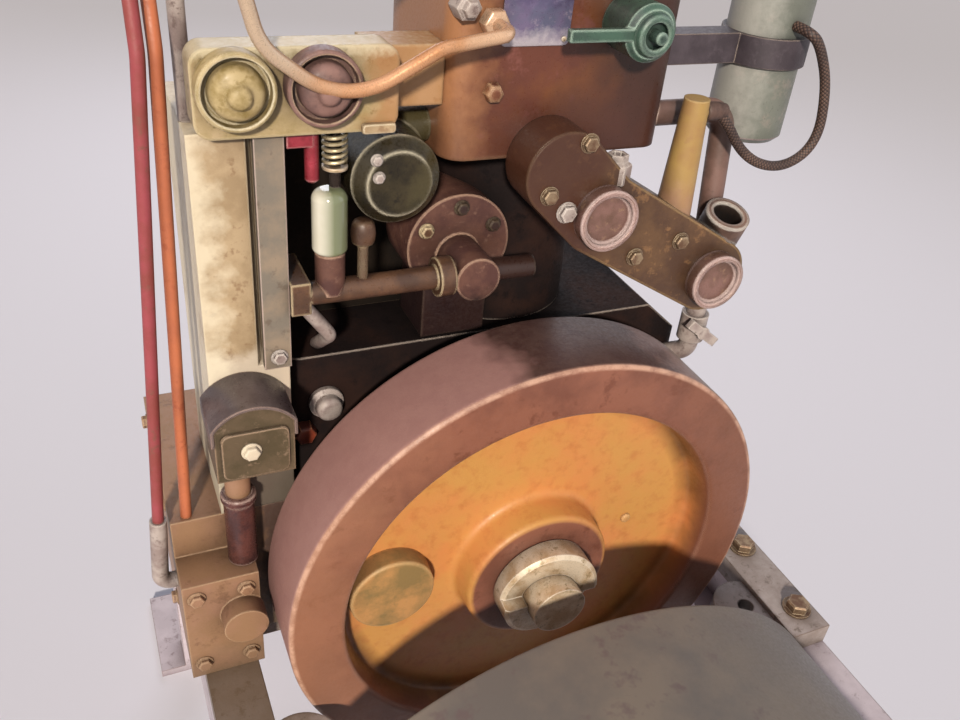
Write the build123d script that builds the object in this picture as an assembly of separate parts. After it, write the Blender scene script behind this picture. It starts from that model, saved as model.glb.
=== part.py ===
from build123d import *
import math
import os

# A vertical single-cylinder stationary gas engine on a low steel frame.
# Lengths are in millimetres. X runs to the right, Y runs back along the crankshaft, Z runs up.
# Pieces are drawn about the centre of the flywheel's front face, at the height of the crankshaft.
# The whole engine is then moved, so that zero lies on the ground under the middle of the frame.

# Ground frame
rail_gauge = 596
rail_width = 40
rail_depth = 100
rail_wall = 7
rail_front = -460
rail_length = 1020
cross_width = 60
cross_depth = 60
cross_inset = 110
middle_cross_y = -165
leg_height = 260
leg_width = 50
foot_length = 150
foot_width = 120
foot_thickness = 12
foot_hole_radius = 7
foot_hole_inset = 25
shaft_above_rails = 110

# Flywheel and crankshaft
wheel_radius = 250
wheel_width = 86
rim_thickness = 55
rim_chamfer = 4
web_thickness = 24
web_recess = 34
hub_radius = 76
web_lug_radius = 42
web_lug_height = 20
web_lug_x = -148
web_lug_z = 13
shaft_radius = 27
shaft_nose = 44
drive_end_length = 60
drive_end_radius = 25
running_clearance = 0.05
dog_radius = 50
dog_length = 30
dog_slot = 22
dog_slot_depth = 12
dog_chamfer = 6

# Bedplate and crankcase
bed_thickness = 26
bed_width = 636
bed_back = 500
bed_front = 110
arm_front = -100
arm_inner = 268
lug_x = 250
lug_y = -42
lug_radius = 36
lug_thickness = 20
lug_hole_radius = 9
crankcase_left = 218
crankcase_right = 205
crankcase_front = 125
crankcase_depth = 255
crankcase_top = 218
shoulder_width = 46
shoulder_drop = 40
crankcase_round = 18
door_length = 210
door_height = 160
door_thickness = 10
door_round = 16
bearing_radius = 78
bearing_gap = 6
rear_bearing_length = 40
front_bearing_chamfer = 8
rear_bearing_chamfer = 10

# Cylinder, water jacket and head
cylinder_x = 12
cylinder_y = 215
cylinder_radius = 78
cylinder_height = 182
jacket_width = 204
jacket_front = 100
jacket_height = 200
jacket_round = 20
head_height = 62
head_margin = 6
cover_height = 62
cover_inset = 22
cover_round = 16
cover_nut_radius = 15
cover_nut_height = 14
cover_nut_round = 5
cover_nut_spread = 55
exhaust_radius = 28
exhaust_flange_radius = 46
exhaust_flange_thickness = 12
exhaust_flange_sink = 16
exhaust_reach = 62
exhaust_rise = 96
exhaust_z = 540
exhaust_bend = 42

# Gear case, side column and magneto on the left
case_left = 330
case_inner = 262
case_front = 60
case_depth = 240
case_top = 80
case_step_back = 100
case_step_top = 38
case_lug_x = -279
case_lug_z = -8
case_lug_radius = 20
case_lug_length = 20
column_width = 67
column_front = 100
column_depth = 120
column_top = 435
groove_width = 4
groove_depth = 9
strip_width = 22
strip_thickness = 8
strip_bottom = 235
magneto_left = 291
magneto_width = 64
magneto_depth = 50
magneto_bottom = 160
magneto_shoulder = 212
magneto_arch = 17
stub_radius = 11
stub_x = -271
stub_y = 84

# Rocker bracket with its pivots, the spring and the red rod
bracket_left = 280
bracket_right = 135
bracket_thickness = 26
bracket_y = 86
bracket_rise = 62
bracket_round = 12
bracket_foot_lap = 14
bracket_foot_back = 150
bracket_foot_drop = 8
pivot_radius = 27
pivot_length = 16
left_pivot_x = -252
right_pivot_x = -192
pivot_rise = 36
spring_x = -179
spring_radius = 10
spring_stem_radius = 5
spring_wire = 2.2
spring_turns = 5
spring_length = 30
spring_ring_height = 3.5
red_rod_x = -196.5
red_rod_radius = 5.5
red_rod_length = 41
red_rod_chamfer = 2
red_arm_left = -216
red_arm_half = 6
red_arm_height = 12

# Mixer, sight glass, governor and the control shaft
mixer_radius = 36
mixer_x = -132
mixer_z = 392
mixer_front = 84
mixer_length = 96
mixer_neck_radius = 14
mixer_neck_y = 146
mixer_neck_rise = 24
mixer_chamfer = 10
glass_x = -184
glass_radius = 14
glass_bottom = 336
glass_top = 389
glass_shoulder = 9
glass_foot = 4
glass_base_radius = 12
control_z = 300
control_y = 96
control_radius = 10
collar_radius = 17
collar_length = 14
collar_x = -93
governor_x = -58
governor_z = 309
governor_radius = 48
governor_front = 130
governor_length = 58
governor_base_half = 31
control_boss_x = -59
control_boss_radius = 20
control_boss_wall = 5
control_right = -2
control_lug_width = 16
control_lug_depth = 40
control_lug_margin = 4
link_radius = 6
link_start = (-206, 92, 290)
link_elbow = (-183, 100, 255)
link_end_y = 146
link_bend = 16

# Water manifold with plugs, plug tube, socket and drain on the right
manifold_left_x = 39
manifold_left_z = 360
manifold_right_x = 170
manifold_right_z = 284
manifold_radius = 36
manifold_depth = 40
manifold_neck_x = 0
manifold_neck_z = 398
plug_radius = 27
plug_length = 14
plug_rim = 5
plug_dish = 5
tube_x = 127
tube_y = 81
tube_foot_radius = 18
tube_top_radius = 11
tube_top = 448
tube_cap_radius = 6.5
tube_cap_length = 9
tube_cap_drop = 12
socket_x = 185
socket_y = 84
socket_rise = 28
socket_radius = 21
socket_bore = 14
socket_height = 30
socket_lean = 20
drain_radius = 10
drain_x = 205
drain_y = 106
drain_low = 168
drain_end_x = 178
drain_end_sink = 6
drain_end_z = 150
drain_bend = 14
drain_boss_wall = 5
drain_boss_drop = 6
return_x = 188
return_foot_y = 98
return_y = 116
return_radius = 11
return_top = 424
return_bend = 20
return_sink = 8
cock_z = 198
cock_height = 30
cock_radius = 14
cock_spindle = 6
cock_spindle_radius = 7
lever_length = 46
lever_depth = 6
lever_height = 10
lever_angle = 37

# Ignition coil and lead, and the gas valve
coil_x = 232
coil_y = 138
coil_radius = 36
coil_bottom = 392
coil_height = 171
coil_band_z = 462
coil_band_height = 26
coil_band_wall = 4
coil_strap_half = 12
coil_chamfer = 5
lead_radius = 4.5
lead_start = 8
lead_loop = ((192, 80, 390), (238, 78, 377), (272, 78, 400), (264, 79, 452), (246, 82, 488), (232, 84, 499))
lead_bends = (8, 30, 30, 30, 40, 20, 8)
valve_x = 57
valve_z = 506
valve_radius = 22
valve_length = 40
valve_chamfer = 4
valve_lever_left = -14
valve_lever_depth = 6
valve_lever_height = 9

# Pipes
copper_radius = 5
side_pipe_radius = 5
side_pipe_shoulder = 490
side_pipe_bend = 40
side_pipe_corner = 30
red_foot_x = -344.7
red_foot_z = 12
red_x = -309
red_y = 100
red_back_y = 132
union_top = 88
union_radius = 7.5
union_bend = 10
orange_foot_x = -315
orange_x = -297
orange_y = 108
orange_back_y = 150
orange_drop = 14
orange_sink = 4
pale_pipe_radius = 6
pale_pipe_x = -279
pale_pipe_y = 130
pale_pipe_rise = 110
copper_gap = 3
copper_top_drop = 20
copper_dip = ((-252, 560), (-238, 504), (-182, 462), (-112, 500), (-60, 508))
copper_bends = (20, 20, 40, 60, 40, 10)
copper_left_x = -254

# Round-topped tank between the rails
tank_radius = 332
tank_centre_z = -281
tank_back = -105
tank_length = 320
tank_side_gap = 3
filler_radius = 26
filler_height = 22
filler_y = -370
filler_sink = 20

# Places that follow from the sizes above
rail_top = -shaft_above_rails
rail_bottom = rail_top - rail_depth
cross_bottom = rail_bottom - cross_depth
ground = cross_bottom - leg_height
rail_back = rail_front + rail_length
frame_middle = (rail_front + rail_back) / 2
front_cross_y = rail_front + cross_inset
rear_cross_y = rail_back - cross_inset
bed_top = rail_top + bed_thickness
crankcase_back = crankcase_front + crankcase_depth
jacket_left_x = cylinder_x - jacket_width / 2
jacket_right_x = cylinder_x + jacket_width / 2
jacket_back = cylinder_y + jacket_width / 2
jacket_bottom = crankcase_top + cylinder_height
jacket_top = jacket_bottom + jacket_height
head_top = jacket_top + head_height
column_left_x = -crankcase_left - column_width
pale_pipe_z = column_top + pale_pipe_rise
manifold_front = jacket_front - manifold_depth
place = Pos(0, -frame_middle, -ground)

os.makedirs("parts", exist_ok=True)


def save(name, shape):
    """Move a piece into the frame of the whole engine and write it as one file."""
    export_step(place * shape, f"parts/{name}.step")


def block(x, y, z):
    """A box between a low and a high value on each axis."""
    size = Box(x[1] - x[0], y[1] - y[0], z[1] - z[0])
    return Pos((x[0] + x[1]) / 2, (y[0] + y[1]) / 2, (z[0] + z[1]) / 2) * size


def upright(x, y, z0, z1, radius):
    """A round bar along Z from z0 to z1."""
    return Pos(x, y, z0) * Cylinder(radius, z1 - z0, align=(Align.CENTER, Align.CENTER, Align.MIN))


def along_y(x, z, y0, y1, radius):
    """A round bar along Y from y0 to y1."""
    bar = Cylinder(radius, y1 - y0, align=(Align.CENTER, Align.CENTER, Align.MIN))
    return Pos(x, y0, z) * Rot(-90, 0, 0) * bar


def along_x(y, z, x0, x1, radius):
    """A round bar along X from x0 to x1."""
    bar = Cylinder(radius, x1 - x0, align=(Align.CENTER, Align.CENTER, Align.MIN))
    return Pos(x0, y, z) * Rot(0, 90, 0) * bar


def bent_rod(points, bends, radius):
    """A round rod along straight runs that are joined by arcs of the given radii."""
    route = FilletPolyline(*points, radius=bends)
    start = Plane(origin=route @ 0, z_dir=route % 0)
    return sweep(start * Circle(radius), path=route)


def rounded_block(x, y, z, radius, axis=Axis.Z):
    """A box whose edges along one axis are rounded."""
    body = block(x, y, z)
    return fillet(body.edges().filter_by(axis), radius)


def round_backed_block(outset, z, radius):
    """A block that is flat in front with two rounded corners, and half round about the cylinder's axis."""
    half = jacket_width / 2 + outset
    front = block((cylinder_x - half, cylinder_x + half), (jacket_front - outset, cylinder_y), z)
    front = fillet(front.edges().filter_by(Axis.Z).group_by(Axis.Y)[0], radius)
    return front + upright(cylinder_x, cylinder_y, z[0], z[1], half)


def make_frame():
    """Two channel rails on three cross bars and four legs with bolted feet."""
    half = rail_gauge / 2
    for side, name in ((-1, "left_rail"), (1, "right_rail")):
        outer = half + rail_width / 2
        inner = half - rail_width / 2
        ends = (rail_front, rail_back)
        low, high = sorted((side * (outer - rail_wall), side * outer))
        web = block((low, high), ends, (rail_bottom, rail_top))
        low, high = sorted((side * inner, side * outer))
        top = block((low, high), ends, (rail_top - rail_wall, rail_top))
        bottom = block((low, high), ends, (rail_bottom, rail_bottom + rail_wall))
        save(name, web + top + bottom)
    reach = half + rail_width / 2
    crosses = (("front", front_cross_y), ("middle", middle_cross_y), ("rear", rear_cross_y))
    for name, y in crosses:
        span = (y - cross_width / 2, y + cross_width / 2)
        save(f"{name}_cross_bar", block((-reach, reach), span, (cross_bottom, rail_bottom)))
    for end, y, outward in (("front", front_cross_y, -1), ("rear", rear_cross_y, 1)):
        for side, x in (("left", -half), ("right", half)):
            post = block((x - leg_width / 2, x + leg_width / 2), (y - leg_width / 2, y + leg_width / 2),
                         (ground + foot_thickness, cross_bottom))
            near = y - outward * leg_width / 2
            far = near + outward * foot_length
            low, high = sorted((near, far))
            pad = block((x - foot_width / 2, x + foot_width / 2), (low, high),
                        (ground, ground + foot_thickness))
            hole = upright(x, far - outward * foot_hole_inset, ground, ground + foot_thickness,
                           foot_hole_radius)
            save(f"{end}_{side}_leg", post + pad - hole)


def make_bedplate():
    """A flat casting under the crankcase, with an arm and an eye lug on each side of the flywheel."""
    half = bed_width / 2
    body = block((-half, half), (bed_front, bed_back), (rail_top, bed_top))
    for side in (-1, 1):
        low, high = sorted((side * arm_inner, side * half))
        body += block((low, high), (arm_front, bed_front), (rail_top, bed_top))
        body += upright(side * lug_x, lug_y, rail_top, rail_top + lug_thickness, lug_radius)
        low, high = sorted((side * (lug_x - lug_radius), side * arm_inner))
        body += block((low, high), (arm_front, lug_y), (rail_top, rail_top + lug_thickness))
    for side in (-1, 1):
        body -= upright(side * lug_x, lug_y, rail_top, bed_top, lug_hole_radius)
    save("bedplate", body)


def crankcase_outline():
    """The plain box of the crankcase, for pieces that end on its front or its top."""
    return block((-crankcase_left, crankcase_right), (crankcase_front, crankcase_back),
                 (bed_top, crankcase_top))


def make_crankcase():
    """A closed box casting that is bored for the crankshaft, with a side door and two bearings."""
    body = rounded_block((-crankcase_left, crankcase_right), (crankcase_front, crankcase_back),
                         (bed_top, crankcase_top), crankcase_round)
    low = (crankcase_right + shoulder_width, crankcase_top - 2 * shoulder_drop)
    high = (crankcase_right - 2 * shoulder_width, crankcase_top + shoulder_drop)
    wedge = make_face(Polyline(low, high, (low[0], high[1]), low))
    body -= extrude(Plane.XZ * wedge, crankcase_back, both=True)
    bore = shaft_radius + running_clearance
    body -= along_y(0, 0, crankcase_front, crankcase_back, bore)
    save("crankcase", body)
    middle = (crankcase_front + crankcase_back) / 2
    door_z = (bed_top + crankcase_top) / 2
    door = rounded_block((crankcase_right, crankcase_right + door_thickness),
                         (middle - door_length / 2, middle + door_length / 2),
                         (door_z - door_height / 2, door_z + door_height / 2), door_round, Axis.X)
    save("crankcase_door", door)
    front = along_y(0, 0, wheel_width + bearing_gap, crankcase_front, bearing_radius)
    front = chamfer(front.faces().sort_by(Axis.Y)[0].edges(), front_bearing_chamfer)
    save("front_bearing", front - along_y(0, 0, wheel_width, crankcase_front, bore))
    rear_end = crankcase_back + rear_bearing_length
    rear = along_y(0, 0, crankcase_back, rear_end, bearing_radius)
    rear = chamfer(rear.faces().sort_by(Axis.Y)[-1].edges(), rear_bearing_chamfer)
    save("rear_bearing", rear - along_y(0, 0, crankcase_back, rear_end, bore))


def make_flywheel():
    """The crankshaft, the heavy flywheel on it and the starting dog on its nose."""
    shoulder = crankcase_back + rear_bearing_length
    shaft = along_y(0, 0, -shaft_nose, shoulder, shaft_radius)
    shaft += along_y(0, 0, shoulder, shoulder + drive_end_length, drive_end_radius)
    save("crankshaft", shaft)
    rim_inner = wheel_radius - rim_thickness
    web_back = web_recess + web_thickness
    profile = Polyline(
        (shaft_radius, 0), (hub_radius, 0), (hub_radius, web_recess), (rim_inner, web_recess),
        (rim_inner, 0), (wheel_radius - rim_chamfer, 0), (wheel_radius, rim_chamfer),
        (wheel_radius, wheel_width - rim_chamfer), (wheel_radius - rim_chamfer, wheel_width),
        (rim_inner, wheel_width), (rim_inner, web_back), (hub_radius, web_back),
        (hub_radius, wheel_width), (shaft_radius, wheel_width), (shaft_radius, 0))
    body = revolve(make_face(profile), Axis.Y, 360)
    lug = along_y(web_lug_x, web_lug_z, web_recess - web_lug_height, web_recess, web_lug_radius)
    save("flywheel", body + lug)
    dog = along_y(0, 0, -dog_length, 0, dog_radius)
    dog = chamfer(dog.faces().sort_by(Axis.Y)[0].edges(), dog_chamfer)
    dog -= along_y(0, 0, -dog_length, 0, shaft_radius)
    slot = block((-dog_radius, dog_radius), (-dog_length, dog_slot_depth - dog_length),
                 (-dog_slot / 2, dog_slot / 2))
    save("starting_dog", dog - slot)


def jacket_body():
    """The water jacket, which other pieces end on."""
    return round_backed_block(0, (jacket_bottom, jacket_top), jacket_round)


def barrel():
    """The cylinder's barrel between the crankcase and the jacket."""
    return upright(cylinder_x, cylinder_y, crankcase_top, jacket_bottom, cylinder_radius)


def make_cylinder():
    """The barrel, the water jacket that overhangs it, the head, its cover and the exhaust elbow."""
    save("cylinder", barrel())
    jacket = jacket_body()
    save("water_jacket", jacket)
    head = round_backed_block(head_margin, (jacket_top, head_top), jacket_round + head_margin)
    save("cylinder_head", head)
    cover_top = head_top + cover_height
    cover = round_backed_block(-cover_inset, (head_top, cover_top), jacket_round)
    cover = fillet(cover.faces().sort_by(Axis.Z)[-1].edges(), cover_round)
    save("rocker_cover", cover)
    nuts = None
    for y in (cylinder_y - cover_nut_spread, cylinder_y + cover_nut_spread):
        nut = upright(cylinder_x, y, cover_top, cover_top + cover_nut_height, cover_nut_radius)
        nut = fillet(nut.faces().sort_by(Axis.Z)[-1].edges(), cover_nut_round)
        nuts = nut if nuts is None else nuts + nut
    save("cover_nuts", nuts)
    flange = along_y(cylinder_x, exhaust_z, jacket_back - exhaust_flange_sink,
                     jacket_back + exhaust_flange_thickness, exhaust_flange_radius) - jacket
    start = jacket_back + exhaust_flange_thickness
    elbow = bent_rod([(cylinder_x, start, exhaust_z), (cylinder_x, start + exhaust_reach, exhaust_z),
                      (cylinder_x, start + exhaust_reach, exhaust_z + exhaust_rise)],
                     exhaust_bend, exhaust_radius)
    save("exhaust_elbow", flange + elbow)


def make_left_side():
    """The gear case, the tall column on it with its cover strip, and the magneto in front."""
    back = case_front + case_depth
    case = block((-case_left, -crankcase_left), (case_step_back, back), (bed_top, case_top))
    case += block((-case_left, -case_inner), (case_front, case_step_back), (bed_top, case_step_top))
    case += along_y(case_lug_x, case_lug_z, case_front - case_lug_length, case_front, case_lug_radius)
    case += upright(stub_x, stub_y, case_step_top, magneto_bottom, stub_radius)
    save("gear_case", case)
    column = block((column_left_x, -crankcase_left), (column_front, column_front + column_depth),
                   (case_top, column_top))
    groove_x = -crankcase_left - strip_width
    groove = block((groove_x - groove_width, groove_x), (column_front, column_front + groove_depth),
                   (strip_bottom, column_top))
    save("side_column", column - groove)
    left = -magneto_left
    right = left + magneto_width
    middle = (left + right) / 2
    body = block((left, right), (column_front - magneto_depth, column_front),
                 (magneto_bottom, magneto_shoulder))
    radius = (magneto_arch ** 2 + (magneto_width / 2) ** 2) / (2 * magneto_arch)
    arch = along_y(middle, magneto_shoulder + magneto_arch - radius, column_front - magneto_depth,
                   column_front, radius)
    cap = block((left, right), (column_front - magneto_depth, column_front),
                (magneto_shoulder, magneto_shoulder + magneto_arch))
    magneto = body + (arch & cap)
    save("magneto", magneto)
    strip = block((groove_x, -crankcase_left), (column_front - strip_thickness, column_front),
                  (strip_bottom, column_top))
    save("cover_strip", strip - magneto)


def make_rocker_bracket():
    """The bracket plate from the column to the jacket, with two pivots, a spring and a red rod."""
    back = bracket_y + bracket_thickness
    top = column_top + bracket_rise
    plate = rounded_block((-bracket_left, -bracket_right), (bracket_y, back), (column_top, top),
                          bracket_round, Axis.Y)
    foot = block((-bracket_right - bracket_foot_lap, jacket_left_x), (back, bracket_foot_back),
                 (column_top + bracket_foot_drop, top - bracket_foot_drop))
    save("rocker_bracket", plate + foot)
    pivot_z = column_top + pivot_rise
    pivots = along_y(left_pivot_x, pivot_z, bracket_y - pivot_length, bracket_y, pivot_radius)
    pivots += along_y(right_pivot_x, pivot_z, bracket_y - pivot_length, bracket_y, pivot_radius)
    save("rocker_pivots", pivots)
    middle = bracket_y + bracket_thickness / 2
    low = column_top - spring_length
    pitch = spring_length / spring_turns
    spring = upright(spring_x, middle, glass_top, low, spring_stem_radius)
    spring += upright(spring_x, middle, low, column_top, spring_radius - spring_wire)
    for turn in range(spring_turns):
        ring = upright(spring_x, middle, low + pitch * turn, low + pitch * turn + spring_ring_height,
                       spring_radius)
        spring += ring
    save("valve_spring", spring)
    red = upright(red_rod_x, middle, column_top - red_rod_length, column_top, red_rod_radius)
    red = chamfer(red.faces().sort_by(Axis.Z)[0].edges(), red_rod_chamfer)
    red += block((red_arm_left, red_rod_x), (middle - red_arm_half, middle + red_arm_half),
                 (column_top - red_arm_height, column_top))
    save("red_rod", red)


def control_lug():
    """The lug that holds the left end of the control shaft on the column."""
    return block((-crankcase_left, control_lug_width - crankcase_left),
                 (control_y - control_radius, column_front + control_lug_depth),
                 (control_z - control_radius - control_lug_margin,
                  control_z + control_radius + control_lug_margin))


def make_governor():
    """The mixer on the jacket, the sight glass, the governor housing and the control shaft."""
    body = along_y(mixer_x, mixer_z, mixer_front, mixer_front + mixer_length, mixer_radius)
    body = chamfer(body.faces().sort_by(Axis.Y)[0].edges(), mixer_chamfer)
    neck = along_x(mixer_neck_y, mixer_z + mixer_neck_rise, mixer_x, jacket_left_x, mixer_neck_radius)
    save("mixer", body + neck)
    front = governor_front
    back = front + governor_length
    housing = along_y(governor_x, governor_z, front, back, governor_radius)
    housing += block((governor_x - governor_base_half, governor_x + governor_base_half),
                     (front, back), (crankcase_top, governor_z))
    boss_front = control_y - control_radius - control_boss_wall
    housing += along_y(control_boss_x, control_z, boss_front, front, control_boss_radius)
    shaft = along_x(control_y, control_z, -crankcase_left, control_right, control_radius)
    shaft += along_x(control_y, control_z, collar_x, collar_x + collar_length, collar_radius)
    shaft += control_lug()
    save("governor_housing", housing - shaft - barrel())
    save("control_shaft", shaft)
    glass = upright(glass_x, control_y, glass_bottom, glass_top, glass_radius)
    glass = fillet(glass.faces().sort_by(Axis.Z)[-1].edges(), glass_shoulder)
    glass = fillet(glass.faces().sort_by(Axis.Z)[0].edges(), glass_foot)
    save("sight_glass", glass)
    base = upright(glass_x, control_y, control_z, glass_bottom, glass_base_radius)
    save("glass_base", base - shaft)


def make_link():
    """A pale bent link from the lug of the control shaft down to the crankcase."""
    x, y, z = link_elbow
    link = bent_rod([link_start, (x, y, z), (x, link_end_y, crankcase_top)], link_bend, link_radius)
    bar = along_x(control_y, control_z, -crankcase_left, control_right, control_radius)
    save("governor_link", link - control_lug() - bar - crankcase_outline())


def make_manifold():
    """The sloping water manifold with two round plugs, a tapered tube, a socket and a drain."""
    back = jacket_front
    ends = ((manifold_left_x, manifold_left_z), (manifold_right_x, manifold_right_z),
            (manifold_neck_x, manifold_neck_z))
    body = None
    for first, second in ((0, 1), (0, 2)):
        a, b = ends[first], ends[second]
        length = math.hypot(b[0] - a[0], b[1] - a[1])
        angle = math.degrees(math.atan2(b[1] - a[1], b[0] - a[0]))
        bar = Pos((a[0] + b[0]) / 2, (manifold_front + back) / 2, (a[1] + b[1]) / 2) * Rot(0, -angle, 0)
        piece = bar * Box(length, back - manifold_front, 2 * manifold_radius)
        body = piece if body is None else body + piece
    for x, z in ends:
        body += along_y(x, z, manifold_front, back, manifold_radius)
    body += upright(drain_x, drain_y, manifold_right_z - manifold_radius - drain_boss_drop,
                    manifold_right_z, drain_radius + drain_boss_wall)
    slope = (manifold_left_z - manifold_right_z) / (manifold_right_x - manifold_left_x)
    tube_foot = manifold_left_z - (tube_x - manifold_left_x) * slope
    tube = Pos(tube_x, tube_y, tube_foot) * Cone(tube_foot_radius, tube_top_radius, tube_top - tube_foot,
                                                 align=(Align.CENTER, Align.CENTER, Align.MIN))
    tube_edge = tube_x + tube_top_radius + tube_cap_length
    tube += along_x(tube_y, tube_top - tube_cap_drop, tube_x, tube_edge, tube_cap_radius)
    save("plug_tube", tube - body)
    socket = Pos(socket_x, socket_y, manifold_right_z + socket_rise) * Rot(socket_lean, 0, 0)
    outer = socket * Cylinder(socket_radius, socket_height, align=(Align.CENTER, Align.CENTER, Align.MIN))
    inner = socket * Cylinder(socket_bore, socket_height, align=(Align.CENTER, Align.CENTER, Align.MIN))
    save("outlet_socket", outer - body - inner)
    pipe = bent_rod([(return_x, return_foot_y, manifold_right_z), (return_x, return_y, return_top),
                     (jacket_right_x - return_sink, return_y, return_top)], return_bend, return_radius)
    save("return_pipe", pipe - body - outer - jacket_body())
    plugs = None
    for x, z in ends[:2]:
        plug = along_y(x, z, manifold_front - plug_length, manifold_front, plug_radius)
        plug -= along_y(x, z, manifold_front - plug_length, manifold_front - plug_length + plug_dish,
                        plug_radius - plug_rim)
        plugs = plug if plugs is None else plugs + plug
    save("manifold_plugs", plugs)
    drain = bent_rod([(drain_x, drain_y, manifold_right_z), (drain_x, drain_y, drain_low),
                      (drain_end_x, crankcase_front + drain_end_sink, drain_end_z)], drain_bend, drain_radius)
    save("water_manifold", body)
    save("drain_pipe", drain - body - crankcase_outline())
    cock = upright(drain_x, drain_y, cock_z - cock_height / 2, cock_z + cock_height / 2, cock_radius)
    spindle_front = drain_y - cock_radius - cock_spindle
    cock += along_y(drain_x, cock_z, spindle_front, drain_y, cock_spindle_radius)
    lever = Pos(drain_x, spindle_front + lever_depth / 2, cock_z) * Rot(0, lever_angle, 0)
    cock += lever * Box(lever_length, lever_depth, lever_height)
    save("drain_cock", cock - drain)


def make_ignition():
    """The coil can in its band and the green gas valve on the jacket."""
    can = upright(coil_x, coil_y, coil_bottom, coil_bottom + coil_height, coil_radius)
    can = chamfer(can.faces().sort_by(Axis.Z)[0].edges(), coil_chamfer)
    save("ignition_coil", can)
    high = coil_band_z + coil_band_height
    band = upright(coil_x, coil_y, coil_band_z, high, coil_radius + coil_band_wall)
    band += block((jacket_right_x, coil_x), (coil_y - coil_strap_half, coil_y + coil_strap_half),
                  (coil_band_z, high))
    save("coil_band", band - upright(coil_x, coil_y, coil_band_z, high, coil_radius))
    valve = along_y(valve_x, valve_z, jacket_front - valve_length, jacket_front, valve_radius)
    valve = chamfer(valve.faces().sort_by(Axis.Y)[0].edges(), valve_chamfer)
    lever_front = jacket_front - valve_length
    valve += block((valve_lever_left, valve_x), (lever_front, lever_front + valve_lever_depth),
                   (valve_z - valve_lever_height / 2, valve_z + valve_lever_height / 2))
    save("gas_valve", valve)


def make_lead():
    """The ignition lead, which loops out to the right from the plug tube and back into the coil."""
    start = tube_x + tube_top_radius + tube_cap_length
    z = tube_top - tube_cap_drop
    points = [(start, tube_y, z), (start + lead_start, tube_y, z)]
    points += lead_loop
    points += [(coil_x, coil_y - coil_radius, lead_loop[-1][2])]
    lead = bent_rod(points, lead_bends, lead_radius)
    save("ignition_lead", lead)


def make_pipes():
    """The copper pipe across the front, the red and orange pipes at the left and the pale pipe."""
    y = bracket_y - pivot_length - copper_radius - copper_gap
    head_z = (jacket_top + head_top) / 2
    back = jacket_front + jacket_round + copper_radius
    top = jacket_top - copper_top_drop
    end_x, end_z = copper_dip[-1]
    points = [(jacket_left_x, back, top), (copper_left_x, back, top)]
    points += [(x, y, z) for x, z in copper_dip]
    points += [(end_x, jacket_front, end_z)]
    copper = bent_rod(points, copper_bends, copper_radius)
    save("copper_pipe", copper)
    side = jacket_left_x - head_margin
    share = (union_top - red_foot_z) / (side_pipe_shoulder - red_foot_z)
    union_x = red_foot_x + share * (red_x - red_foot_x)
    bends = (side_pipe_bend, side_pipe_corner)
    red = bent_rod([(union_x, red_y, union_top), (red_x, red_y, side_pipe_shoulder),
                    (red_x, red_back_y, head_z), (side, red_back_y, head_z)], bends, side_pipe_radius)
    save("red_pipe", red)
    union = bent_rod([(union_x, red_y, union_top), (red_foot_x, red_y, red_foot_z),
                      (-case_left, red_y, red_foot_z)], union_bend, union_radius)
    save("pipe_union", union)
    orange_z = head_z - orange_drop
    orange = bent_rod([(orange_foot_x, orange_y, case_top - orange_sink),
                       (orange_x, orange_y, side_pipe_shoulder), (orange_x, orange_back_y, orange_z),
                       (side, orange_back_y, orange_z)], bends, side_pipe_radius)
    case = block((-case_left, -case_inner), (case_front, case_front + case_depth), (bed_top, case_top))
    save("orange_pipe", orange - case)
    pale = bent_rod([(pale_pipe_x, pale_pipe_y, column_top), (pale_pipe_x, pale_pipe_y, pale_pipe_z),
                     (jacket_left_x, pale_pipe_y, pale_pipe_z)], side_pipe_corner, pale_pipe_radius)
    save("pale_pipe", pale)


def make_tank():
    """A round-topped sheet tank that lies between the rails on two cross bars."""
    half = rail_gauge / 2 - rail_width / 2 - tank_side_gap
    front = tank_back - tank_length
    drum = along_y(0, tank_centre_z, front, tank_back, tank_radius)
    envelope = block((-half, half), (front, tank_back), (rail_bottom, tank_centre_z + tank_radius))
    save("front_tank", drum & envelope)
    top = tank_centre_z + tank_radius
    cap = upright(0, filler_y, top - filler_sink, top + filler_height, filler_radius)
    save("tank_filler", cap - drum)


make_frame()
make_bedplate()
make_crankcase()
make_flywheel()
make_cylinder()
make_left_side()
make_rocker_bracket()
make_governor()
make_link()
make_manifold()
make_ignition()
make_lead()
make_pipes()
make_tank()
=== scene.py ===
import math
import bmesh
import bpy
import numpy as np
from mathutils import Matrix


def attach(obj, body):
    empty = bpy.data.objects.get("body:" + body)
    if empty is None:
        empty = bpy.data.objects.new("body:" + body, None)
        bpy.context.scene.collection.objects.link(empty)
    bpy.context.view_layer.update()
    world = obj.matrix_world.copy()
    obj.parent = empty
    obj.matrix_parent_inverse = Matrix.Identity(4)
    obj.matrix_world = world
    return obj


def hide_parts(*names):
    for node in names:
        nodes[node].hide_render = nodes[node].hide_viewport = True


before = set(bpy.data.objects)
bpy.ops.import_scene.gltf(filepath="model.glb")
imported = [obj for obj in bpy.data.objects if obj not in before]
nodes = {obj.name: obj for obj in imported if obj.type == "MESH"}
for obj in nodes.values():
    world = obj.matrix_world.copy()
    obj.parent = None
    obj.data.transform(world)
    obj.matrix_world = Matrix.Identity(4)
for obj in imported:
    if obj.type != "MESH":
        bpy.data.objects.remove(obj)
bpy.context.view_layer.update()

scene = bpy.context.scene

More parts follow.
